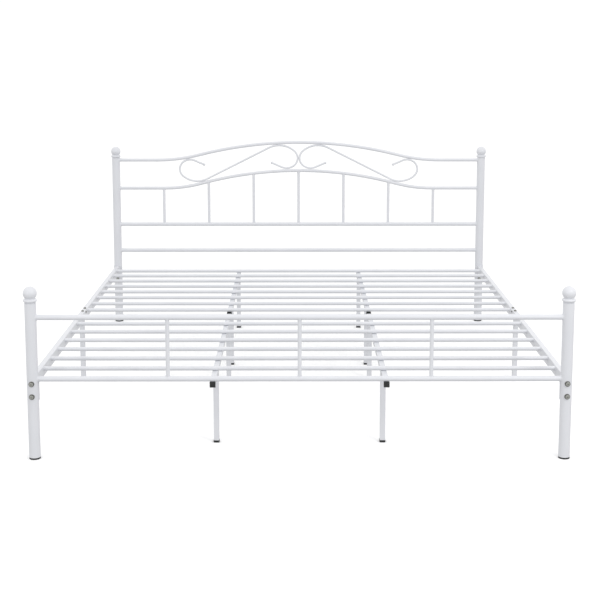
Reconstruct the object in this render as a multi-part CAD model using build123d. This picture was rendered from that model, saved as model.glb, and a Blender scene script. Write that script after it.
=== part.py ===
from build123d import *
import os
from math import atan, cos, radians, sin

# A king-size metal bed frame, in millimetres, standing on z = 0 and centred on x = y = 0.
# X runs across the bed, +Y points from the footboard to the headboard, and +Z is up.
# The headboard and the footboard are welded tube frames. Two half decks of slats bolt between them.

# ---- whole frame ----
POST_SPACING = 1910       # centre to centre of the left and right posts
FRAME_LENGTH = 2075       # centre to centre of the footboard and headboard posts
SIDE_X = POST_SPACING / 2
FOOT_Y = -FRAME_LENGTH / 2
HEAD_Y = FRAME_LENGTH / 2
SIDES = {"left": -1, "right": 1}
PLAY = 0.1                # between a plug and the tube around it

# ---- posts and their ends ----
POST_DIAMETER = 41
POST_RADIUS = POST_DIAMETER / 2
POST_WALL = 1.2
POST_PLUG_RADIUS = POST_RADIUS - POST_WALL - PLAY
FOOT_POST_TOP = 572.5
HEAD_POST_TOP = 871.5
POST_PAD_HEIGHT = 6
PLUG_DEPTH = 20

# ---- ball finial, heights above the top of its post ----
BALL_RADIUS = 24.5
BALL_HEIGHT = 34.8
RING_HEIGHT = 9.5
RING_RADIUS = 5.7         # of the ring's own round section
NECK_RADIUS = 18
NECK_HEIGHT = 19

# ---- cross tubes of the two ends ----
BAR_DIAMETER = 19
BAR_WALL = 1.2
SPINDLE_DIAMETER = 14
SPINDLE_WALL = 1.0
FOOT_TOP_RAIL_Z = 520
FOOT_LOWER_RAIL_Z = 295
FOOT_SPINDLES = 3
HEAD_LOWER_BAR_Z = 382.5
HEAD_UPPER_BAR_Z = 521.5
HEAD_SPINDLES = 7

# ---- the two arches: level at the posts, one arc up, one arc over the crown ----
ARCH_DIAMETER = 16
ARCH_WALL = 1.2
ARCH_RISE = 92.5
TOP_ARCH = {"level": 861, "half_span": 740, "crown_radius": 2100}
LOWER_ARCH = {"level": 713, "half_span": 700, "crown_radius": 1950}

# ---- scrolls: each is one rod bent to an S between the arches ----
SCROLL_DIAMETER = 10
SCROLL_HEADING = 26.7     # degrees that the straight middle climbs towards the crown
SCROLL_INNER_STRAIGHT = 177  # from the middle of the rod to the first bend of each half
SCROLL_OUTER_STRAIGHT = 185
SCROLL_BENDS = [(121, 67), (50, 107), (64, 56)]  # radius and degrees of each bend
SCROLL_TAIL = 56
OUTER_BEND_SCALE = 0.95   # the bends beside the post are a little smaller
SCROLL_CENTRE_Z = 845.4
SCROLL_MEETING_GAP = 0.3  # between the two rods at the middle of the headboard
TIP_DIAMETER = 13

# ---- side rails, joined at mid-length ----
EDGE_RADIUS = 2           # on the outside corners of square tube
SIDE_RAIL_WIDTH = 20
SIDE_RAIL_HEIGHT = 40
SIDE_RAIL_WALL = 1.2
SIDE_RAIL_TOP = 303
SIDE_RAIL_LOW = SIDE_RAIL_TOP - SIDE_RAIL_HEIGHT
JOINT_Y = 1.5             # where the two halves of a side rail meet
JOINT_GAP = 1
JOINER_SPAN = (-37, 63)   # ends of the sleeve, from the joint
JOINER_WALL = 2
JOINER_BOLTS = (-27.5, 27.5)  # from the joint to each bolt in the top face
JOINER_BOLT_DIAMETER = 6
JOINER_HEAD = {"diameter": 12, "height": 4.5, "edge_round": 3, "flats": 4, "depth": 2.5}
JOINER_NUT_FLATS = 10
JOINER_NUT_HEIGHT = 5
LOCK_SCREW_OFFSET = -7.5  # from the joint to the screw in the inner face
LOCK_SCREW_Z = 296
LOCK_SCREW_DIAMETER = 4
LOCK_SCREW_LENGTH = 5
LOCK_HEAD = {"diameter": 8, "height": 4, "edge_round": 2.5, "flats": 3, "depth": 2}

# ---- brackets and corner bolts ----
BRACKET_THICKNESS = 3
BRACKET_RADIUS = POST_RADIUS + BRACKET_THICKNESS
BRACKET_LOW = 215
BRACKET_REACH = 10        # from the post's centre plane to where the curved plate starts
CORNER_BOLT_HEIGHTS = (234, 281)
BOLT_DIAMETER = 8
BOLT_HOLE_DIAMETER = 8.6
BOLT_HEAD_DIAMETER = 17
BOLT_HEAD_HEIGHT = 4.5
BOLT_HEAD_ROUND = 2.5
SOCKET_FLATS = 5
SOCKET_DEPTH = 3
WASHER_DIAMETER = 20
WASHER_THICKNESS = 2.5
WASHER_WRAP = 6           # how far the saddle washer's rim reaches round the post
NUT_FLATS = 13
NUT_HEIGHT = 6.5
THREAD_END = 2            # of the bolt past its nut

# ---- slat deck: distances from the nearer post plane ----
SLAT_DIAMETER = 16
SLAT_WALL = 1.0
SLAT_Z = 293.5
FRONT_SLATS = 7
FRONT_SLAT_START = 139
FRONT_SLAT_PITCH = 136.5
REAR_SLATS = 8
REAR_SLAT_START = 119
REAR_SLAT_PITCH = 125.5

# ---- inner rails under the slats, with a cap on each end ----
INNER_RAIL_X = 311
INNER_RAIL_SIZE = 20
INNER_RAIL_WALL = 1.2
INNER_RAIL_TOP = SLAT_Z - SLAT_DIAMETER / 2
INNER_RAIL_LOW = INNER_RAIL_TOP - INNER_RAIL_SIZE
INNER_RAIL_SPANS = {
    "front": (FOOT_Y - BAR_DIAMETER / 2, 0),
    "rear": (30, 930),
}
CAP_THICKNESS = 3
CAP_SIZE = 21
CAP_PLUG_DEPTH = 12

# ---- legs ----
LEG_SIZE = 20
LEG_WALL = 1.2
LEG_PAD_HEIGHT = 8
LEG_PAD_SIZE = 22
LEG_PLUG_HEIGHT = 14
LEG_ROWS = {"foot": -864, "middle": -45, "joint": 193, "head": 892}

CENTRED = Align.CENTER
STANDING = (CENTRED, CENTRED, Align.MIN)

# How a shape that stands along +Z is laid along another direction.
ALONG_X = Rot(0, 90, 0)
AGAINST_X = Rot(0, -90, 0)
ALONG_Y = Rot(-90, 0, 0)
AGAINST_Y = Rot(90, 0, 0)

parts = {}


# ---- plain stock, all standing along +Z from z = 0 ----
def rod(radius, length):
    return Cylinder(radius, length, align=STANDING)


def round_tube(diameter, wall, length):
    return rod(diameter / 2, length) - rod(diameter / 2 - wall, length)


def square_bar(width, depth, length, corner=EDGE_RADIUS):
    return extrude(RectangleRounded(width, depth, corner), length)


def square_tube(width, depth, wall, length):
    bore = square_bar(width - 2 * wall, depth - 2 * wall, length, EDGE_RADIUS - wall)
    return square_bar(width, depth, length) - bore


def tube_plug(width, depth, wall, length):
    """A solid that slides inside a square tube of this size."""
    inset = 2 * (wall + PLAY)
    return square_bar(width - inset, depth - inset, length, EDGE_RADIUS - wall)


def hexagon(flats, length):
    return extrude(RegularPolygon(flats / 2, 6, major_radius=False), length)


# ---- cross tubes between the posts ----
def post_core(side, y):
    """The whole cylinder that a post fills, for shaping the tube ends welded to it."""
    return Pos(side * SIDE_X, y, 0) * rod(POST_RADIUS, HEAD_POST_TOP)


def between_posts(shape, y):
    for side in SIDES.values():
        shape -= post_core(side, y)
    return shape


def bar_core(y, z):
    return Pos(-SIDE_X, y, z) * ALONG_X * rod(BAR_DIAMETER / 2, POST_SPACING)


def make_bar(y, z):
    tube = ALONG_X * round_tube(BAR_DIAMETER, BAR_WALL, POST_SPACING)
    return between_posts(Pos(-SIDE_X, y, z) * tube, y)


def spindle_places(count):
    """Spindle centres that leave equal clear gaps between the two posts."""
    clear = POST_SPACING - POST_DIAMETER - count * SPINDLE_DIAMETER
    pitch = clear / (count + 1) + SPINDLE_DIAMETER
    return [(i - (count - 1) / 2) * pitch for i in range(count)]


def make_spindle(x, y, low, high, neighbours):
    """A small tube from one cross tube to another, with its ends cut to their curves."""
    tube = Pos(x, y, low) * round_tube(SPINDLE_DIAMETER, SPINDLE_WALL, high - low)
    for neighbour in neighbours:
        tube -= neighbour
    return tube


# ---- posts, pads and finials ----
def make_post(side, y, top):
    tube = round_tube(POST_DIAMETER, POST_WALL, top - POST_PAD_HEIGHT)
    post = Pos(side * SIDE_X, y, POST_PAD_HEIGHT) * tube
    for z in CORNER_BOLT_HEIGHTS:
        post -= cross_hole(side * SIDE_X, y, z)
    return post


def cross_hole(x, y, z):
    """A bolt hole along Y through a post or its bracket."""
    return Pos(x, y - POST_DIAMETER, z) * ALONG_Y * rod(BOLT_HOLE_DIAMETER / 2, 2 * POST_DIAMETER)


def make_post_pad(side, y):
    pad = rod(POST_RADIUS, POST_PAD_HEIGHT) + rod(POST_PLUG_RADIUS, PLUG_DEPTH)
    return Pos(side * SIDE_X, y, 0) * pad


def make_finial(side, y, top):
    finial = Pos(0, 0, -PLUG_DEPTH) * rod(POST_PLUG_RADIUS, PLUG_DEPTH)
    finial += rod(NECK_RADIUS, NECK_HEIGHT)
    finial += Pos(0, 0, RING_HEIGHT) * Torus(BALL_RADIUS - RING_RADIUS, RING_RADIUS)
    finial += Pos(0, 0, BALL_HEIGHT) * Sphere(BALL_RADIUS)
    return Pos(side * SIDE_X, y, top) * finial


# ---- arches ----
def arch_path(level, half_span, crown_radius):
    """The centre line from post to post: level, an arc up, the crown, an arc down, level."""
    slope = 2 * atan(ARCH_RISE / half_span)
    foot_radius = half_span / sin(slope) - crown_radius
    crown = level + ARCH_RISE
    turn = (crown_radius * sin(slope), crown - crown_radius * (1 - cos(slope)))
    rise = (half_span - foot_radius * sin(slope / 2), level + foot_radius * (1 - cos(slope / 2)))

    def at(x, z):
        return Vector(x, HEAD_Y, z)

    def arc(*points):
        return Edge.make_three_point_arc(*(at(x, z) for x, z in points))

    return Wire(
        [
            Edge.make_line(at(-SIDE_X, level), at(-half_span, level)),
            arc((-half_span, level), (-rise[0], rise[1]), (-turn[0], turn[1])),
            arc((-turn[0], turn[1]), (0, crown), turn),
            arc(turn, rise, (half_span, level)),
            Edge.make_line(at(half_span, level), at(SIDE_X, level)),
        ]
    )


def bent_rod(path, radius):
    section = Plane(origin=path @ 0, z_dir=path % 0) * Circle(radius)
    return sweep(section, path)


def arch_core(shape):
    return bent_rod(arch_path(**shape), ARCH_DIAMETER / 2)


def make_arch(shape):
    bore = bent_rod(arch_path(**shape), ARCH_DIAMETER / 2 - ARCH_WALL)
    return between_posts(arch_core(shape) - bore, HEAD_Y)


# ---- scrolls ----
def scroll_half_path(straight, scale):
    """From the middle of the rod to one tip, in the XZ plane: straight, three bends, straight."""
    heading = radians(SCROLL_HEADING)
    here = Vector(0, 0, 0)
    edges = []
    end = here + Vector(cos(heading), 0, sin(heading)) * straight
    edges.append(Edge.make_line(here, end))
    here = end
    for radius, degrees in SCROLL_BENDS:
        centre = here + Vector(sin(heading), 0, -cos(heading)) * radius * scale
        points = [here]
        for share in (0.5, 1):
            angle = heading - share * radians(degrees)
            points.append(centre + Vector(-sin(angle), 0, cos(angle)) * radius * scale)
        edges.append(Edge.make_three_point_arc(*points))
        heading -= radians(degrees)
        here = points[-1]
    end = here + Vector(cos(heading), 0, sin(heading)) * SCROLL_TAIL * scale
    edges.append(Edge.make_line(here, end))
    return Wire(edges)


def scroll_half(straight, scale):
    path = scroll_half_path(straight, scale)
    return bent_rod(path, SCROLL_DIAMETER / 2) + Pos(path @ 1) * Sphere(TIP_DIAMETER / 2)


def make_scroll(side):
    outer_half = Rot(0, 180, 0) * scroll_half(SCROLL_OUTER_STRAIGHT, OUTER_BEND_SCALE)
    scroll = scroll_half(SCROLL_INNER_STRAIGHT, 1) + outer_half
    inner_edge = scroll.bounding_box().max.X
    scroll = Pos(-inner_edge - SCROLL_MEETING_GAP / 2, HEAD_Y, SCROLL_CENTRE_Z) * scroll
    return scroll if side < 0 else mirror(scroll, Plane.YZ)


# ---- side rails, their joint and their brackets ----
def make_side_rail(side, half):
    """One half, from the curved bracket on its post to the joint."""
    post_y, inward = (FOOT_Y, 1) if half == "front" else (HEAD_Y, -1)
    joint_end = JOINT_Y - inward * JOINT_GAP / 2
    start = min(post_y, joint_end)
    length = abs(post_y - joint_end)
    tube = ALONG_Y * square_tube(SIDE_RAIL_WIDTH, SIDE_RAIL_HEIGHT, SIDE_RAIL_WALL, length)
    rail = Pos(side * SIDE_X, start, SIDE_RAIL_TOP - SIDE_RAIL_HEIGHT / 2) * tube
    rail -= Pos(side * SIDE_X, post_y, 0) * rod(BRACKET_RADIUS, HEAD_POST_TOP)
    if half == "front":
        rail -= leg_hole(side * SIDE_X, LEG_ROWS["middle"], SIDE_RAIL_LOW)
    return drilled_for_joiner(rail, side)


def drilled_for_joiner(shape, side):
    """The shape with the joint's screw holes: in the top wall for the bolts and in the inner wall."""
    depth = SIDE_RAIL_HEIGHT / 4
    bolt_hole = rod(JOINER_BOLT_DIAMETER / 2, depth)
    for offset in JOINER_BOLTS:
        shape -= Pos(side * SIDE_X, JOINT_Y + offset, SIDE_RAIL_TOP - depth) * bolt_hole
    return shape - inner_face_place(side) * Pos(0, 0, -depth) * rod(LOCK_SCREW_DIAMETER / 2, depth)


def inner_face_place(side):
    """On the inner face of a side rail at its lock screw, with +Z pointing to the middle of the bed."""
    turn = AGAINST_X if side > 0 else ALONG_X
    x = side * (SIDE_X - SIDE_RAIL_WIDTH / 2)
    return Pos(x, JOINT_Y + LOCK_SCREW_OFFSET, LOCK_SCREW_Z) * turn


def make_joiner(side):
    """The sleeve inside both halves of a side rail."""
    inset = 2 * (SIDE_RAIL_WALL + PLAY)
    start, end = JOINER_SPAN
    length = end - start
    sleeve = square_bar(
        SIDE_RAIL_WIDTH - inset, SIDE_RAIL_HEIGHT - inset, length, EDGE_RADIUS - SIDE_RAIL_WALL
    )
    bore = inset + 2 * JOINER_WALL
    sleeve -= Box(SIDE_RAIL_WIDTH - bore, SIDE_RAIL_HEIGHT - bore, length, align=STANDING)
    z = SIDE_RAIL_TOP - SIDE_RAIL_HEIGHT / 2
    return drilled_for_joiner(Pos(side * SIDE_X, JOINT_Y + start, z) * ALONG_Y * sleeve, side)


def at_joints(shape):
    """A copy of a piece, built up from the top of a side rail, at each joiner bolt."""
    return [
        Pos(side * SIDE_X, JOINT_Y + offset, SIDE_RAIL_TOP) * shape
        for side in SIDES.values()
        for offset in JOINER_BOLTS
    ]


def make_joiner_nut():
    """A nut welded under the top wall of the joiner."""
    nut = hexagon(JOINER_NUT_FLATS, JOINER_NUT_HEIGHT) - rod(JOINER_BOLT_DIAMETER / 2, JOINER_NUT_HEIGHT)
    return Pos(0, 0, -SIDE_RAIL_WALL - PLAY - JOINER_WALL - JOINER_NUT_HEIGHT) * nut


def make_joiner_bolt():
    """A domed screw down through the rail, the joiner and its nut."""
    length = SIDE_RAIL_WALL + PLAY + JOINER_WALL + JOINER_NUT_HEIGHT + THREAD_END
    shank = rod(JOINER_BOLT_DIAMETER / 2 - PLAY, length)
    return button_head(**JOINER_HEAD) + Pos(0, 0, -length) * shank


def make_lock_screw(side):
    """A small screw from the inner face of the front half into the joiner."""
    shank = rod(LOCK_SCREW_DIAMETER / 2 - PLAY, LOCK_SCREW_LENGTH)
    return inner_face_place(side) * (button_head(**LOCK_HEAD) + Pos(0, 0, -LOCK_SCREW_LENGTH) * shank)


def button_head(diameter, height, edge_round, flats, depth):
    """A domed head with a hexagon socket in its top."""
    head = rod(diameter / 2, height)
    head = fillet(head.edges().sort_by(Axis.Z)[-1], edge_round)
    return head - Pos(0, 0, height - depth) * hexagon(flats, depth)


def make_bracket(side, y):
    """A plate curved round the inner half of the post, welded to the end of the side rail."""
    height = SIDE_RAIL_TOP - BRACKET_LOW
    depth = BRACKET_RADIUS - BRACKET_REACH
    inward = 1 if y < 0 else -1
    place = Pos(side * SIDE_X, y, BRACKET_LOW)
    ring = place * (rod(BRACKET_RADIUS, height) - rod(POST_RADIUS, height))
    kept = Box(2 * BRACKET_RADIUS, depth, height, align=STANDING)
    plate = ring & place * Pos(0, inward * (BRACKET_REACH + depth / 2), 0) * kept
    for z in CORNER_BOLT_HEIGHTS:
        plate -= cross_hole(side * SIDE_X, y, z)
    return plate


# ---- corner bolts, each built along +Z inwards from the centre line of its post ----
def make_corner_bolt():
    under_head = POST_RADIUS + WASHER_THICKNESS
    head = button_head(BOLT_HEAD_DIAMETER, BOLT_HEAD_HEIGHT, BOLT_HEAD_ROUND, SOCKET_FLATS, SOCKET_DEPTH)
    length = under_head + BRACKET_RADIUS + NUT_HEIGHT + THREAD_END
    shank = Pos(0, 0, -under_head) * rod(BOLT_DIAMETER / 2, length)
    return Pos(0, 0, -under_head) * Rot(180, 0, 0) * head + shank


def make_corner_washer():
    """A washer with one side curved to sit on the post."""
    disc = rod(WASHER_DIAMETER / 2, WASHER_WRAP) - rod(BOLT_HOLE_DIAMETER / 2, WASHER_WRAP)
    post = AGAINST_Y * Cylinder(POST_RADIUS, 2 * WASHER_DIAMETER)
    return Pos(0, 0, -POST_RADIUS - WASHER_THICKNESS) * disc - post


def make_nut():
    return hexagon(NUT_FLATS, NUT_HEIGHT) - rod(BOLT_DIAMETER / 2 + PLAY, NUT_HEIGHT)


def at_corners(shape):
    """A copy of a piece of corner hardware at both heights on all four posts."""
    copies = []
    for side in SIDES.values():
        for y, turn in ((FOOT_Y, ALONG_Y), (HEAD_Y, AGAINST_Y)):
            for z in CORNER_BOLT_HEIGHTS:
                copies.append(Pos(side * SIDE_X, y, z) * turn * shape)
    return copies


# ---- deck ----
def make_slat(y):
    inner_face = SIDE_X - SIDE_RAIL_WIDTH / 2
    return Pos(-inner_face, y, SLAT_Z) * ALONG_X * round_tube(SLAT_DIAMETER, SLAT_WALL, 2 * inner_face)


def make_inner_rail(side, half):
    start, end = INNER_RAIL_SPANS[half]
    length = end - start - 2 * CAP_THICKNESS
    x = side * INNER_RAIL_X
    tube = ALONG_Y * square_tube(INNER_RAIL_SIZE, INNER_RAIL_SIZE, INNER_RAIL_WALL, length)
    rail = Pos(x, start + CAP_THICKNESS, INNER_RAIL_TOP - INNER_RAIL_SIZE / 2) * tube
    for y in LEG_ROWS.values():
        if start < y < end:
            rail -= leg_hole(x, y, INNER_RAIL_LOW)
    return rail


def make_inner_rail_cap(side, half, which_end):
    """A square cap with a plug that goes into the end of an inner rail."""
    y = INNER_RAIL_SPANS[half][which_end]
    cap = square_bar(CAP_SIZE, CAP_SIZE, CAP_THICKNESS)
    cap += Pos(0, 0, CAP_THICKNESS) * tube_plug(
        INNER_RAIL_SIZE, INNER_RAIL_SIZE, INNER_RAIL_WALL, CAP_PLUG_DEPTH
    )
    turn = ALONG_Y if which_end == 0 else AGAINST_Y
    return Pos(side * INNER_RAIL_X, y, INNER_RAIL_TOP - INNER_RAIL_SIZE / 2) * turn * cap


# ---- legs ----
def leg_places():
    """Name, x, y and top of every leg: four under each inner rail and one under each side rail."""
    places = []
    for side_name, side in SIDES.items():
        for row, y in LEG_ROWS.items():
            places.append((f"inner_leg_{side_name}_{row}", side * INNER_RAIL_X, y, INNER_RAIL_LOW))
        places.append((f"side_leg_{side_name}", side * SIDE_X, LEG_ROWS["middle"], SIDE_RAIL_LOW))
    return places


def leg_hole(x, y, rail_low):
    return Pos(x, y, rail_low) * rod(BOLT_HOLE_DIAMETER / 2, 2 * INNER_RAIL_WALL)


def make_leg(x, y, top):
    tube = square_tube(LEG_SIZE, LEG_SIZE, LEG_WALL, top - LEG_PAD_HEIGHT)
    return Pos(x, y, LEG_PAD_HEIGHT) * tube


def make_leg_pad(x, y):
    pad = square_bar(LEG_PAD_SIZE, LEG_PAD_SIZE, LEG_PAD_HEIGHT)
    return Pos(x, y, 0) * (pad + tube_plug(LEG_SIZE, LEG_SIZE, LEG_WALL, PLUG_DEPTH))


def make_leg_plug(x, y, top):
    plug = tube_plug(LEG_SIZE, LEG_SIZE, LEG_WALL, LEG_PLUG_HEIGHT)
    plug -= rod(BOLT_DIAMETER / 2 + PLAY, LEG_PLUG_HEIGHT)
    return Pos(x, y, top - LEG_PLUG_HEIGHT) * plug


def make_leg_stud(x, y, top):
    length = LEG_PLUG_HEIGHT + INNER_RAIL_WALL + NUT_HEIGHT + THREAD_END
    return Pos(x, y, top - LEG_PLUG_HEIGHT) * rod(BOLT_DIAMETER / 2, length)


def make_leg_nut(x, y, top):
    return Pos(x, y, top + INNER_RAIL_WALL) * make_nut()


# ---- the headboard and the footboard ----
for side_name, side in SIDES.items():
    parts[f"footboard_post_{side_name}"] = make_post(side, FOOT_Y, FOOT_POST_TOP)
    parts[f"headboard_post_{side_name}"] = make_post(side, HEAD_Y, HEAD_POST_TOP)
    parts[f"footboard_finial_{side_name}"] = make_finial(side, FOOT_Y, FOOT_POST_TOP)
    parts[f"headboard_finial_{side_name}"] = make_finial(side, HEAD_Y, HEAD_POST_TOP)
    parts[f"headboard_scroll_{side_name}"] = make_scroll(side)

parts["footboard_top_rail"] = make_bar(FOOT_Y, FOOT_TOP_RAIL_Z)
parts["footboard_lower_rail"] = make_bar(FOOT_Y, FOOT_LOWER_RAIL_Z)
parts["headboard_upper_bar"] = make_bar(HEAD_Y, HEAD_UPPER_BAR_Z)
parts["headboard_lower_bar"] = make_bar(HEAD_Y, HEAD_LOWER_BAR_Z)
parts["headboard_top_arch"] = make_arch(TOP_ARCH)
parts["headboard_lower_arch"] = make_arch(LOWER_ARCH)

foot_rails = [bar_core(FOOT_Y, FOOT_LOWER_RAIL_Z), bar_core(FOOT_Y, FOOT_TOP_RAIL_Z)]
for number, x in enumerate(spindle_places(FOOT_SPINDLES), 1):
    parts[f"footboard_spindle_{number}"] = make_spindle(
        x, FOOT_Y, FOOT_LOWER_RAIL_Z, FOOT_TOP_RAIL_Z, foot_rails
    )

# A spindle that crosses the arch is cut in two by it, and the larger piece is the spindle.
spindle_top = LOWER_ARCH["level"] + ARCH_RISE
head_neighbours = [bar_core(HEAD_Y, HEAD_UPPER_BAR_Z), arch_core(LOWER_ARCH)]
for number, x in enumerate(spindle_places(HEAD_SPINDLES), 1):
    spindle = make_spindle(x, HEAD_Y, HEAD_UPPER_BAR_Z, spindle_top, head_neighbours)
    parts[f"headboard_spindle_{number}"] = spindle.solids().sort_by(SortBy.VOLUME)[-1]

# ---- the side rails and what joins them ----
for side_name, side in SIDES.items():
    for half in ("front", "rear"):
        parts[f"side_rail_{side_name}_{half}"] = make_side_rail(side, half)
        parts[f"inner_rail_{side_name}_{half}"] = make_inner_rail(side, half)

parts["rail_brackets"] = [make_bracket(side, y) for side in SIDES.values() for y in (FOOT_Y, HEAD_Y)]
parts["side_rail_joiners"] = [make_joiner(side) for side in SIDES.values()]
parts["joiner_bolts"] = at_joints(make_joiner_bolt())
parts["joiner_weld_nuts"] = at_joints(make_joiner_nut())
parts["joint_lock_screws"] = [make_lock_screw(side) for side in SIDES.values()]
parts["corner_bolts"] = at_corners(make_corner_bolt())
parts["corner_washers"] = at_corners(make_corner_washer())
parts["corner_weld_nuts"] = at_corners(Pos(0, 0, BRACKET_RADIUS) * make_nut())

# ---- the deck and its legs ----
parts["deck_slats_front"] = [
    make_slat(FOOT_Y + FRONT_SLAT_START + i * FRONT_SLAT_PITCH) for i in range(FRONT_SLATS)
]
parts["deck_slats_rear"] = [
    make_slat(HEAD_Y - REAR_SLAT_START - i * REAR_SLAT_PITCH) for i in range(REAR_SLATS)
]
parts["inner_rail_caps"] = [
    make_inner_rail_cap(side, half, which_end)
    for side in SIDES.values()
    for half in INNER_RAIL_SPANS
    for which_end in (0, 1)
]
legs = leg_places()
for name, x, y, top in legs:
    parts[name] = make_leg(x, y, top)
parts["leg_pads"] = [make_leg_pad(x, y) for _, x, y, _ in legs]
parts["leg_plugs"] = [make_leg_plug(x, y, top) for _, x, y, top in legs]
parts["leg_studs"] = [make_leg_stud(x, y, top) for _, x, y, top in legs]
parts["leg_weld_nuts"] = [make_leg_nut(x, y, top) for _, x, y, top in legs]
parts["post_pads"] = [make_post_pad(side, y) for side in SIDES.values() for y in (FOOT_Y, HEAD_Y)]

# ---- one STEP file for each node ----
os.makedirs("parts", exist_ok=True)
for name, shape in parts.items():
    if isinstance(shape, list):
        shape = Compound(children=shape)
    export_step(shape, f"parts/{name}.step")
print(len(parts), "nodes written")
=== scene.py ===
import math

import bpy
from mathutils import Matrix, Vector


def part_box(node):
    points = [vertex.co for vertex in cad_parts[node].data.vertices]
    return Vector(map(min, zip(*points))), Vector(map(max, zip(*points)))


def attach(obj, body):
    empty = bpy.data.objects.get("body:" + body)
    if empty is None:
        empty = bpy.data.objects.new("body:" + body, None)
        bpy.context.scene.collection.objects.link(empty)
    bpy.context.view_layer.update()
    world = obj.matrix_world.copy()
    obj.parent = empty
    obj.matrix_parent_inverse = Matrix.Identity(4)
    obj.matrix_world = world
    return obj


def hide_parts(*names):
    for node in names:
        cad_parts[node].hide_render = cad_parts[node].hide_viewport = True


# The looks of a white metal bed frame: finishes, weld beads, turned finials and rolled post rims,
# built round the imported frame. Everything is in metres, with +Y towards the headboard.

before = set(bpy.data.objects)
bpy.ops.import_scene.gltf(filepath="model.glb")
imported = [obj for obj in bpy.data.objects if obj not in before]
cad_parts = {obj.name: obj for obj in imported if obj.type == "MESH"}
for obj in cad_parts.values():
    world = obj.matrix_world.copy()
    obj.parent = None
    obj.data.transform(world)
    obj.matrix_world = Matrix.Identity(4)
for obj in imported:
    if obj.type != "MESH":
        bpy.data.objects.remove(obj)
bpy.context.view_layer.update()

MM = 0.001
UP = Vector((0, 0, 1))
ALONG_X = Vector((1, 0, 0))
ALONG_Y = Vector((0, 1, 0))
SIDES = (-1, 1)

# ---- sizes read back from the frame ----
post_low, post_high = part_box("footboard_post_right")
POST_RADIUS = (post_high.x - post_low.x) / 2
POST_X = (post_high.x + post_low.x) / 2
FOOT_Y = (post_high.y + post_low.y) / 2
FOOT_POST_TOP = post_high.z
head_post_low, head_post_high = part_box("headboard_post_right")
HEAD_Y = (head_post_high.y + head_post_low.y) / 2
HEAD_POST_TOP = head_post_high.z


def middle(node):
    low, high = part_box(node)
    return (low + high) / 2


def thickness(node, axis):
    low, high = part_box(node)
    return high[axis] - low[axis]


BAR_RADIUS = thickness("footboard_top_rail", 2) / 2
SPINDLE_RADIUS = thickness("footboard_spindle_1", 0) / 2
ARCH_RADIUS = thickness("headboard_top_arch", 1) / 2
SLAT_RADIUS = thickness("deck_slats_front", 2) / 2
SLAT_Z = middle("deck_slats_front").z
RAIL_WIDTH = thickness("side_rail_left_front", 0)
RAIL_HEIGHT = thickness("side_rail_left_front", 2)

# ---- sizes and counts that the boxes don't show ----
RAIL_CORNER = 2 * MM
BRACKET_THICKNESS = 3 * MM
BRACKET_RADIUS = POST_RADIUS + BRACKET_THICKNESS
FOOT_SPINDLES = 3
HEAD_SPINDLES = 7
SLAT_COUNTS = {"deck_slats_front": 7, "deck_slats_rear": 8}


# ---------------------------------------------------------------- materials
class Nodes:
    """A short way to build a node tree."""

    def __init__(self, tree):
        self.tree = tree
        tree.nodes.clear()

    def add(self, kind, inputs=(), **settings):
        node = self.tree.nodes.new(kind)
        for name, value in settings.items():
            setattr(node, name, value)
        for socket, value in dict(inputs).items():
            if isinstance(value, bpy.types.NodeSocket):
                self.tree.links.new(value, node.inputs[socket])
            else:
                node.inputs[socket].default_value = value
        return node

    def place(self):
        return self.add("ShaderNodeTexCoord").outputs["Object"]

    def noise(self, scale, detail):
        texture = self.add(
            "ShaderNodeTexNoise",
            {"Vector": self.place(), "Scale": scale, "Detail": detail, "Roughness": 0.5},
        )
        return texture.outputs["Fac"]

    def remap(self, value, low, high, start=0.3, end=0.7):
        """A value from start to end, spread from low to high. Noise mostly lies from 0.3 to 0.7."""
        spread = self.add(
            "ShaderNodeMapRange",
            {"Value": value, "From Min": start, "From Max": end, "To Min": low, "To Max": high},
        )
        return spread.outputs["Result"]

    def mix(self, factor, first, second):
        blend = self.add("ShaderNodeMix", data_type="RGBA")
        self.tree.links.new(factor, blend.inputs["Factor"])
        blend.inputs["A"].default_value = (*first, 1)
        blend.inputs["B"].default_value = (*second, 1)
        return blend.outputs["Result"]

    def bump(self, height, distance, below=None):
        inputs = {"Height": height, "Distance": distance, "Strength": 1.0}
        if below is not None:
            inputs["Normal"] = below
        return self.add("ShaderNodeBump", inputs).outputs["Normal"]

    def surface(self, **inputs):
        sockets = {name.replace("_", " "): value for name, value in inputs.items()}
        shader = self.add("ShaderNodeBsdfPrincipled", sockets)
        output = self.add("ShaderNodeOutputMaterial")
        self.tree.links.new(shader.outputs["BSDF"], output.inputs["Surface"])


def new_material(name):
    material = bpy.data.materials.new(name)
    material.use_nodes = True
    return material, Nodes(material.node_tree)


def powder_coat():
    """Satin white powder coat: a fine orange peel over slow waves, with faint changes of tone."""
    material, nodes = new_material("white_powder_coat")
    tone = nodes.remap(nodes.noise(9, 3), 0, 1)
    peel = nodes.noise(700, 2)
    waves = nodes.noise(70, 2)
    nodes.surface(
        Base_Color=nodes.mix(tone, (0.695, 0.706, 0.742), (0.725, 0.735, 0.767)),
        Roughness=nodes.remap(nodes.noise(160, 3), 0.30, 0.42),
        Normal=nodes.bump(peel, 0.03 * MM, below=nodes.bump(waves, 0.12 * MM)),
        IOR=1.5,
        Coat_Weight=0.25,
        Coat_Roughness=0.18,
    )
    return material


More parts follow.
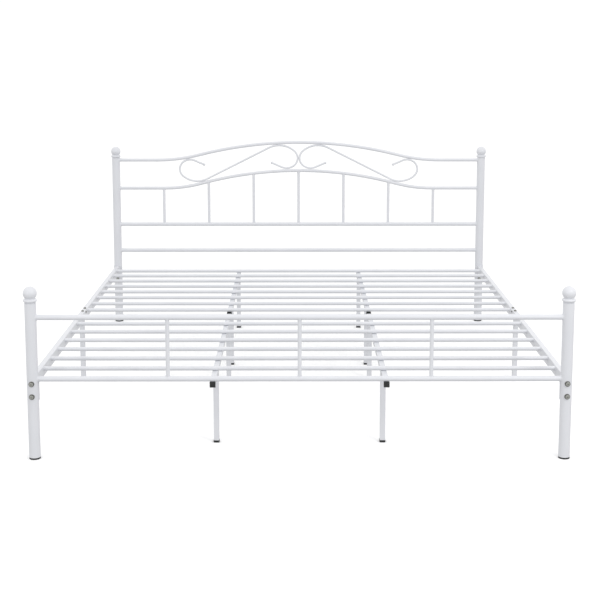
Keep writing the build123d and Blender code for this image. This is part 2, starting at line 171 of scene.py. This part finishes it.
def zinc_steel():
    """Dull zinc plate with fine wear, and painted shading: painted light on faces that look along
    Y, such as the flat tops, and painted shade round the edges.
    """
    material, nodes = new_material("zinc_plated_steel")
    # Painted shade and highlight: the colour follows how far each face turns from Y, light where it
    # looks along Y and dark where it turns away.
    normal = nodes.add("ShaderNodeNewGeometry").outputs["Normal"]
    painted_light_facing = nodes.add("ShaderNodeSeparateXYZ", {"Vector": normal})
    flat = nodes.add("ShaderNodeMath", {0: painted_light_facing.outputs["Y"]}, operation="ABSOLUTE")
    top = nodes.remap(flat.outputs["Value"], 0, 1, 0.55, 0.97)
    wear = nodes.remap(nodes.noise(420, 4), 0, 0.16)
    # The painted light from the facing, less a little real wear, sets the mix of dark and light
    # zinc.
    level = nodes.add("ShaderNodeMath", {0: top, 1: wear}, operation="SUBTRACT", use_clamp=True)
    nodes.surface(
        Base_Color=nodes.mix(level.outputs["Value"], (0.085, 0.087, 0.080), (0.46, 0.465, 0.435)),
        Metallic=0.9,
        Roughness=nodes.remap(nodes.noise(900, 3), 0.32, 0.5),
        Normal=nodes.bump(nodes.noise(1500, 2), 0.02 * MM),
    )
    return material


def blackened_steel():
    """Black oxide steel, slightly worn, for the washers and the screws of the side rails."""
    material, nodes = new_material("blackened_steel")
    wear = nodes.remap(nodes.noise(500, 4), 0, 1)
    nodes.surface(
        Base_Color=nodes.mix(wear, (0.16, 0.16, 0.150), (0.27, 0.27, 0.250)),
        Metallic=0.6,
        Roughness=nodes.remap(nodes.noise(1200, 2), 0.4, 0.55),
        Normal=nodes.bump(nodes.noise(1500, 2), 0.02 * MM),
    )
    return material


def black_plastic():
    """Moulded polyethylene: near black, with a fine spark-eroded grain."""
    material, nodes = new_material("black_plastic")
    tone = nodes.remap(nodes.noise(120, 3), 0, 1)
    nodes.surface(
        Base_Color=nodes.mix(tone, (0.010, 0.011, 0.011), (0.020, 0.021, 0.021)),
        Roughness=nodes.remap(nodes.noise(1100, 2), 0.42, 0.58),
        Normal=nodes.bump(nodes.noise(1800, 2), 0.03 * MM),
        IOR=1.5,
    )
    return material


FINISHES = {
    "white_powder_coat": powder_coat(),
    "zinc_plated_steel": zinc_steel(),
    "black_plastic": black_plastic(),
    "blackened_steel": blackened_steel(),
}
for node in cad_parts.values():
    for used in node.material_slots:
        used.material = FINISHES[used.material.name]


# ---------------------------------------------------------------- mesh helpers
SHARP_ANGLE = 35
ROUND_STEPS = 72


def add_piece(name, vertices, faces, slot="white_powder_coat"):
    mesh = bpy.data.meshes.new(name)
    mesh.from_pydata([tuple(v) for v in vertices], [], faces)
    mesh.validate()
    mesh.shade_smooth()
    mesh.set_sharp_from_angle(angle=math.radians(SHARP_ANGLE))
    mesh.materials.append(FINISHES[slot])
    piece = bpy.data.objects.new(name, mesh)
    bpy.context.scene.collection.objects.link(piece)
    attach(piece, "root")
    return piece


class Shape:
    """Vertices and faces gathered from several closed loops of rings."""

    def __init__(self):
        self.vertices = []
        self.faces = []

    def add_rings(self, rings, closed_round=False, capped=False):
        """Joins equal rings of points. closed_round joins the last ring to the first."""
        start = len(self.vertices)
        size = len(rings[0])
        for ring in rings:
            self.vertices.extend(ring)
        count = len(rings)
        for i in range(count if closed_round else count - 1):
            near = start + i * size
            far = start + (i + 1) % count * size
            for j in range(size):
                k = (j + 1) % size
                self.faces.append((near + j, near + k, far + k, far + j))
        if capped:
            self.faces.append(tuple(start + j for j in reversed(range(size))))
            self.faces.append(tuple(start + (count - 1) * size + j for j in range(size)))

    def turned(self, profile, centre):
        """A profile of (radius, height) pairs turned about a vertical axis, closed at both ends."""
        rings = []
        for radius, height in profile:
            ring = []
            for i in range(ROUND_STEPS):
                angle = math.tau * i / ROUND_STEPS
                around = Vector((radius * math.cos(angle), radius * math.sin(angle), height))
                ring.append(centre + around)
            rings.append(ring)
        self.add_rings(rings, capped=True)


def arc(centre, radius, start, end, steps):
    """Points of an arc in (radius, height), with angles in degrees from the outward direction."""
    points = []
    for i in range(steps + 1):
        angle = math.radians(start + (end - start) * i / steps)
        points.append((centre[0] + radius * math.cos(angle), centre[1] + radius * math.sin(angle)))
    return points


# ---------------------------------------------------------------- finials
BALL_RADIUS = 24.5 * MM
BALL_HEIGHT = 34.8 * MM
RING_HEIGHT = 9.5 * MM
RING_RADIUS = 5.7 * MM
NECK_RADIUS = 18 * MM
PLUG_RADIUS = 19.2 * MM
PLUG_DEPTH = 20 * MM
PLUG_CHAMFER = 1 * MM
SHOULDER_LOW = -0.6 * MM  # the plug widens into the neck between these heights
SHOULDER_HIGH = 0.4 * MM
BALL_SEAT = 1.6 * MM      # above the top of the ring, where the ball starts
BALL_END = 89.4           # degrees, just short of the top so that the last ring isn't a point
BALL_STEPS = 34
RING_ARC = (-96, 102)     # the part of the ring that shows, in degrees from the outward direction
RING_STEPS = 20


def finial_profile():
    """From the bottom of the plug to the top of the ball."""
    profile = [(PLUG_RADIUS - PLUG_CHAMFER, -PLUG_DEPTH), (PLUG_RADIUS, -PLUG_DEPTH + PLUG_CHAMFER)]
    profile += [(PLUG_RADIUS, SHOULDER_LOW), (NECK_RADIUS, SHOULDER_HIGH)]
    ring_centre = (BALL_RADIUS - RING_RADIUS, RING_HEIGHT)
    profile += arc(ring_centre, RING_RADIUS, *RING_ARC, RING_STEPS)
    ball_start = RING_HEIGHT + RING_RADIUS + BALL_SEAT - BALL_HEIGHT
    sweep_start = math.degrees(math.asin(ball_start / BALL_RADIUS))
    profile += arc((0, BALL_HEIGHT), BALL_RADIUS, sweep_start, BALL_END, BALL_STEPS)
    return profile


def make_finials():
    for end, y, top in (("footboard", FOOT_Y, FOOT_POST_TOP), ("headboard", HEAD_Y, HEAD_POST_TOP)):
        for side in SIDES:
            where = "left" if side < 0 else "right"
            shape = Shape()
            shape.turned(finial_profile(), Vector((side * POST_X, y, top)))
            piece = add_piece(f"{end}_ball_{where}", shape.vertices, shape.faces)
            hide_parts(f"{end}_finial_{where}")


RIM_RADIUS = 1.1 * MM
RIM_PROUD = 0.15 * MM     # how far the rim stands out past the post
RIM_DROP = 0.6            # how far its centre lies under the post's top, as a share of its radius
RIM_STEPS = 16


def make_post_rims():
    """The rolled rim at the top of each post, under the finial."""
    shape = Shape()
    for y, top in ((FOOT_Y, FOOT_POST_TOP), (HEAD_Y, HEAD_POST_TOP)):
        for side in SIDES:
            centre = Vector((side * POST_X, y, top - RIM_RADIUS * RIM_DROP))
            ring_line = POST_RADIUS - RIM_RADIUS + RIM_PROUD
            rings = []
            for i in range(ROUND_STEPS):
                turn = math.tau * i / ROUND_STEPS
                out = Vector((math.cos(turn), math.sin(turn), 0))
                ring = []
                for j in range(RIM_STEPS):
                    angle = math.tau * j / RIM_STEPS
                    flat = out * (ring_line + RIM_RADIUS * math.cos(angle))
                    ring.append(centre + flat + UP * RIM_RADIUS * math.sin(angle))
                rings.append(ring)
            shape.add_rings(rings, closed_round=True)
    add_piece("post_rims", shape.vertices, shape.faces)


# ---------------------------------------------------------------- weld beads
def round_section(radius, steps=40):
    """Outline points and outward directions of a round tube, as plane pairs."""
    outline = []
    for i in range(steps):
        angle = math.tau * i / steps
        out = (math.cos(angle), math.sin(angle))
        outline.append(((radius * out[0], radius * out[1]), out))
    return outline


def box_section(width, height, corner, flat_steps=6, corner_steps=5):
    """The same for a square tube with rounded corners."""
    outline = []
    corners = ((1, 1, 0), (-1, 1, 90), (-1, -1, 180), (1, -1, 270))
    for number, (sx, sy, start) in enumerate(corners):
        centre = (sx * (width / 2 - corner), sy * (height / 2 - corner))
        for i in range(corner_steps + 1):
            angle = math.radians(start + 90 * i / corner_steps)
            out = (math.cos(angle), math.sin(angle))
            outline.append(((centre[0] + corner * out[0], centre[1] + corner * out[1]), out))
        end = outline[-1][0]
        out = outline[-1][1]
        after = corners[(number + 1) % 4]
        turn = math.radians(after[2])
        next_start = (
            after[0] * (width / 2 - corner) + corner * math.cos(turn),
            after[1] * (height / 2 - corner) + corner * math.sin(turn),
        )
        for i in range(1, flat_steps):
            share = i / flat_steps
            x = end[0] + (next_start[0] - end[0]) * share
            y = end[1] + (next_start[1] - end[1]) * share
            outline.append(((x, y), out))
    return outline


def reach_round(point, direction, axis_point, axis, radius):
    """How far from point along direction the surface of a round tube is."""
    start = point - axis_point
    start = start - axis * start.dot(axis)
    along = direction - axis * direction.dot(axis)
    a = along.dot(along)
    b = start.dot(along)
    c = start.dot(start) - radius * radius
    return (-b - math.sqrt(max(b * b - a * c, 0))) / a


def reach_flat(point, direction, on_plane):
    return (on_plane - point).dot(direction)


BEAD_STEPS = 5
BEAD_FULLNESS = 0.72      # from a hollow fillet at 0 to a domed one at 1
BEAD_ROOT = 0.5 * MM      # how far the bead goes into both surfaces
BEAD_BACK = 0.9           # how far it reaches back inside the tube, as a share of its size
RIPPLES = ((0.10, 9, 1), (0.07, 17, 2.3))  # share of the size, waves round the tube, seed factor
POST_WELD = 2.6 * MM
ARCH_WELD = 2.3 * MM
SPINDLE_WELD = 1.7 * MM
SLAT_WELD = 2.0 * MM
RAIL_WELD = 2.2 * MM
SPINDLE_STEPS = 28
SLAT_STEPS = 32
STAND_OFF = 50 * MM       # a weld's base is a point inside its tube, this far from the joint
RAIL_STAND_OFF = 100 * MM
POST_STAND_OFF = 0.9      # where the base is for a weld to a post, as a share of POST_X


def weld(shape, base, direction, outline, reach, size, seed):
    """A bead round the end of a tube that runs from base along direction into another surface.

    reach gives the distance from a point to that surface, and seed shifts the ripples of the bead.
    """
    side_way = direction.orthogonal().normalized() if abs(direction.y) > 0.5 else ALONG_Y
    cross_way = direction.cross(side_way).normalized()
    rings = []
    for i, (point, out) in enumerate(outline):
        turn = math.tau * i / len(outline)
        bead = size
        for share, waves, shift in RIPPLES:
            bead += size * share * math.sin(waves * turn + shift * seed)
        ring = []
        for j in range(BEAD_STEPS + 1):
            angle = math.radians(90 * j / BEAD_STEPS)
            hollow = (1 - math.sin(angle), 1 - math.cos(angle))
            domed = (math.cos(angle), math.sin(angle))
            spread = bead * (hollow[0] * (1 - BEAD_FULLNESS) + domed[0] * BEAD_FULLNESS)
            back = bead * (hollow[1] * (1 - BEAD_FULLNESS) + domed[1] * BEAD_FULLNESS)
            ring.append((spread, back))
        ring.append((-BEAD_ROOT, size * BEAD_BACK))
        ring.append((-BEAD_ROOT, -BEAD_ROOT))
        placed = []
        for spread, back in ring:
            sideways = point[0] + out[0] * spread
            crossways = point[1] + out[1] * spread
            flat = base + side_way * sideways + cross_way * crossways
            placed.append(flat + direction * (reach(flat) - back))
        rings.append(placed)
    shape.add_rings(rings, closed_round=True)


def weld_to_posts(shape, y, z, radius, size=POST_WELD):
    for side in SIDES:
        post = Vector((side * POST_X, y, 0))
        way = ALONG_X * side

        def reach(point, way=way, post=post):
            return reach_round(point, way, post, UP, POST_RADIUS)

        base = Vector((side * POST_X * POST_STAND_OFF, y, z))
        weld(shape, base, way, round_section(radius), reach, size, z * 40 + side)


def weld_spindle_end(shape, x, y, z, up, target, axis, radius):
    """target is a point on the axis of the tube that the spindle meets, and axis its direction."""
    way = UP * up

    def reach(point):
        return reach_round(point, way, target, axis, radius)

    outline = round_section(SPINDLE_RADIUS, SPINDLE_STEPS)
    weld(shape, Vector((x, y, z)), way, outline, reach, SPINDLE_WELD, x * 7 + up)


class Arch:
    """The centre line of a headboard arch: level, an arc up, the crown, and the same down."""

    def __init__(self, level, rise, half_span, crown_radius):
        self.level = level
        self.half_span = half_span
        self.crown_radius = crown_radius
        self.crown = level + rise
        self.slope = 2 * math.atan(rise / half_span)
        self.foot_radius = half_span / math.sin(self.slope) - crown_radius
        self.turn_x = crown_radius * math.sin(self.slope)

    def height(self, x):
        x = abs(x)
        if x < self.turn_x:
            return self.crown - self.crown_radius + math.sqrt(self.crown_radius**2 - x * x)
        if x < self.half_span:
            across = self.half_span - x
            return self.level + self.foot_radius - math.sqrt(self.foot_radius**2 - across * across)
        return self.level

    def direction(self, x):
        step = 1 * MM
        return Vector((2 * step, 0, self.height(x + step) - self.height(x - step))).normalized()


ARCH_RISE = 92.5 * MM
TOP_ARCH = Arch(level=861 * MM, rise=ARCH_RISE, half_span=740 * MM, crown_radius=2100 * MM)
LOWER_ARCH = Arch(level=713 * MM, rise=ARCH_RISE, half_span=700 * MM, crown_radius=1950 * MM)


def make_footboard_welds():
    shape = Shape()
    top_z = middle("footboard_top_rail").z
    low_z = middle("footboard_lower_rail").z
    for z in (top_z, low_z):
        weld_to_posts(shape, FOOT_Y, z, BAR_RADIUS)
    for number in range(1, FOOT_SPINDLES + 1):
        x = middle(f"footboard_spindle_{number}").x
        between = (top_z + low_z) / 2
        for up, z in ((1, top_z), (-1, low_z)):
            target = Vector((x, FOOT_Y, z))
            weld_spindle_end(shape, x, FOOT_Y, between, up, target, ALONG_X, BAR_RADIUS)
    add_piece("footboard_welds", shape.vertices, shape.faces)


def make_headboard_welds():
    shape = Shape()
    bar_z = middle("headboard_upper_bar").z
    for z in (bar_z, middle("headboard_lower_bar").z):
        weld_to_posts(shape, HEAD_Y, z, BAR_RADIUS)
    for arch in (TOP_ARCH, LOWER_ARCH):
        weld_to_posts(shape, HEAD_Y, arch.level, ARCH_RADIUS, ARCH_WELD)
    for number in range(1, HEAD_SPINDLES + 1):
        x = middle(f"headboard_spindle_{number}").x
        between = bar_z + STAND_OFF
        bar_point = Vector((x, HEAD_Y, bar_z))
        arch_point = Vector((x, HEAD_Y, LOWER_ARCH.height(x)))
        along = LOWER_ARCH.direction(x)
        weld_spindle_end(shape, x, HEAD_Y, between, -1, bar_point, ALONG_X, BAR_RADIUS)
        weld_spindle_end(shape, x, HEAD_Y, between, 1, arch_point, along, ARCH_RADIUS)
    add_piece("headboard_welds", shape.vertices, shape.faces)


SPOT_RINGS = 9
SPOT_STEPS = 14
ARCH_SPOT = (14 * MM, 5 * MM)     # length and width
MEETING_SPOT = (12 * MM, 4 * MM)


def add_bead(shape, centre, along, length, width):
    """A rounded spot of weld, longer along one direction."""
    across = ALONG_Y
    up = along.cross(across)
    rings = []
    for i in range(SPOT_RINGS):
        share = math.cos(math.pi * (i + 0.5) / SPOT_RINGS)
        radius = width / 2 * math.sqrt(1 - share * share)
        ring = []
        for j in range(SPOT_STEPS):
            angle = math.tau * j / SPOT_STEPS
            ring.append(
                centre
                + along * share * length / 2
                + across * radius * math.cos(angle)
                + up * radius * math.sin(angle)
            )
        rings.append(ring)
    shape.add_rings(rings, capped=True)


def make_scroll_welds():
    """Spots where the halves of each scroll come closest to the arches, and where the two meet."""
    shape = Shape()
    for where in ("left", "right"):
        node = f"headboard_scroll_{where}"
        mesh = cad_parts[node]
        points = [mesh.matrix_world @ vertex.co for vertex in mesh.data.vertices]
        split = middle(node).x
        inner = [point for point in points if abs(point.x) < abs(split)]
        outer = [point for point in points if abs(point.x) > abs(split)]
        for half, arch, up in ((inner, TOP_ARCH, 1), (outer, TOP_ARCH, 1), (outer, LOWER_ARCH, -1)):
            touch = min(half, key=lambda point: (arch.height(point.x) - point.z) * up)
            along = arch.direction(touch.x)
            normal = Vector((-along.z, 0, along.x))
            surface = Vector((touch.x, HEAD_Y, arch.height(touch.x))) - normal * ARCH_RADIUS * up
            add_bead(shape, surface, along, *ARCH_SPOT)
    nearest = [point.z for point in points if abs(point.x) < 1 * MM]
    meeting = Vector((0, HEAD_Y, sum(nearest) / len(nearest)))
    add_bead(shape, meeting, UP, *MEETING_SPOT)
    add_piece("scroll_welds", shape.vertices, shape.faces)


def slat_rows():
    """The Y of every slat, found from the rows of the two slat nodes."""
    rows = []
    for node, count in SLAT_COUNTS.items():
        low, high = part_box(node)
        first = low.y + SLAT_RADIUS
        last = high.y - SLAT_RADIUS
        rows += [first + (last - first) * i / (count - 1) for i in range(count)]
    return rows


def make_slat_end_welds():
    inner_face = POST_X - RAIL_WIDTH / 2
    shape = Shape()
    for y in slat_rows():
        for side in SIDES:
            way = ALONG_X * side
            on_rail = Vector((side * inner_face, y, SLAT_Z))

            def reach(point, way=way, on_rail=on_rail):
                return reach_flat(point, way, on_rail)

            base = Vector((side * (inner_face - STAND_OFF), y, SLAT_Z))
            outline = round_section(SLAT_RADIUS, SLAT_STEPS)
            weld(shape, base, way, outline, reach, SLAT_WELD, y * 11 + side)
    add_piece("slat_end_welds", shape.vertices, shape.faces)


def upright(outline, direction):
    """Turns an outline so that its height lies along Z in the planes that weld() uses."""
    side_way = direction.orthogonal().normalized()
    if abs(side_way.z) < 0.5:
        return outline
    return [((p[1], -p[0]), (out[1], -out[0])) for p, out in outline]


def make_rail_end_welds():
    """The bead where each side rail meets its curved bracket."""
    shape = Shape()
    outline = box_section(RAIL_WIDTH, RAIL_HEIGHT, RAIL_CORNER)
    middle_z = middle("side_rail_left_front").z
    for side in SIDES:
        for y, way in ((FOOT_Y, -ALONG_Y), (HEAD_Y, ALONG_Y)):
            post = Vector((side * POST_X, y, 0))

            def reach(point, way=way, post=post):
                return reach_round(point, way, post, UP, BRACKET_RADIUS)

            base = post - way * RAIL_STAND_OFF + UP * middle_z
            weld(shape, base, way, upright(outline, way), reach, RAIL_WELD, y * 3 + side)
    add_piece("rail_end_welds", shape.vertices, shape.faces)


make_finials()
make_post_rims()
make_footboard_welds()
make_headboard_welds()
make_scroll_welds()
make_slat_end_welds()
make_rail_end_welds()


# ---------------------------------------------------------------- studio
FLOOR_SIZE = 160
FLOOR_GLOW = 0.07  # lifts the floor to the white of the backdrop in all but the closest shadows
ABOVE = 1.04       # the strength of the light from above the horizon
BELOW = 0.55       # and from below it
BLEND = (-0.30, -0.06)  # the light from below fades into the light from above between these


def make_floor():
    half = FLOOR_SIZE / 2
    corners = [(-half, -half, 0), (half, -half, 0), (half, half, 0), (-half, half, 0)]
    mesh = bpy.data.meshes.new("floor")
    mesh.from_pydata(corners, [], [(0, 1, 2, 3)])
    material, nodes = new_material("floor_white")
    nodes.surface(
        Base_Color=(0.97, 0.97, 0.97, 1),
        Roughness=0.9,
        Specular_IOR_Level=0.1,
        Emission_Color=(1, 1, 1, 1),
        Emission_Strength=FLOOR_GLOW,
    )
    mesh.materials.append(material)
    floor = bpy.data.objects.new("floor", mesh)
    bpy.context.scene.collection.objects.link(floor)
    # The floor only shows and takes shadows. The light from below is the lower half of the world.
    floor.visible_diffuse = False
    floor.visible_glossy = False
    floor.visible_shadow = False


def make_world():
    """A white studio: bright above the horizon and softer below it."""
    world = bpy.data.worlds.new("studio")
    world.use_nodes = True
    nodes = Nodes(world.node_tree)
    direction = nodes.add("ShaderNodeTexCoord").outputs["Generated"]
    height = nodes.add("ShaderNodeSeparateXYZ", {"Vector": direction})
    level = nodes.remap(height.outputs["Z"], BELOW, ABOVE, *BLEND)
    light = nodes.add("ShaderNodeBackground", {"Color": (1, 1, 1, 1), "Strength": level})
    output = nodes.add("ShaderNodeOutputWorld")
    world.node_tree.links.new(light.outputs["Background"], output.inputs["Surface"])
    bpy.context.scene.world = world


def add_light(name, place, aim, size, watts):
    light = bpy.data.lights.new(name, "AREA")
    light.shape = "DISK"
    light.size = size
    light.energy = watts
    lamp = bpy.data.objects.new(name, light)
    lamp.location = place
    lamp.rotation_euler = (Vector(aim) - Vector(place)).to_track_quat("-Z", "Y").to_euler()
    bpy.context.scene.collection.objects.link(lamp)


CAMERA_PLACE = (-0.011, -5.171, 1.520)
CAMERA_PITCH = 8.175   # degrees down
CAMERA_YAW = -0.17
CAMERA_LENS = 71.54    # mm
CAMERA_SHIFT = -0.16   # as a share of the picture's width


def make_camera():
    """Above the foot of the bed, looking along it and a little down."""
    data = bpy.data.cameras.new("camera")
    data.sensor_width = 36
    data.lens = CAMERA_LENS
    data.shift_y = CAMERA_SHIFT
    camera = bpy.data.objects.new("camera", data)
    camera.location = CAMERA_PLACE
    camera.rotation_euler = (math.radians(90 - CAMERA_PITCH), 0, math.radians(CAMERA_YAW))
    bpy.context.scene.collection.objects.link(camera)
    bpy.context.scene.camera = camera


make_floor()
make_world()
add_light("key", place=(2.6, -3.6, 3.0), aim=(0, 0, 0.3), size=1.6, watts=40)
add_light("glint", place=(-2.6, -4.2, 1.9), aim=(-0.6, 0, 0.5), size=0.5, watts=12)
make_camera()
bpy.context.scene.view_settings.view_transform = "Standard"
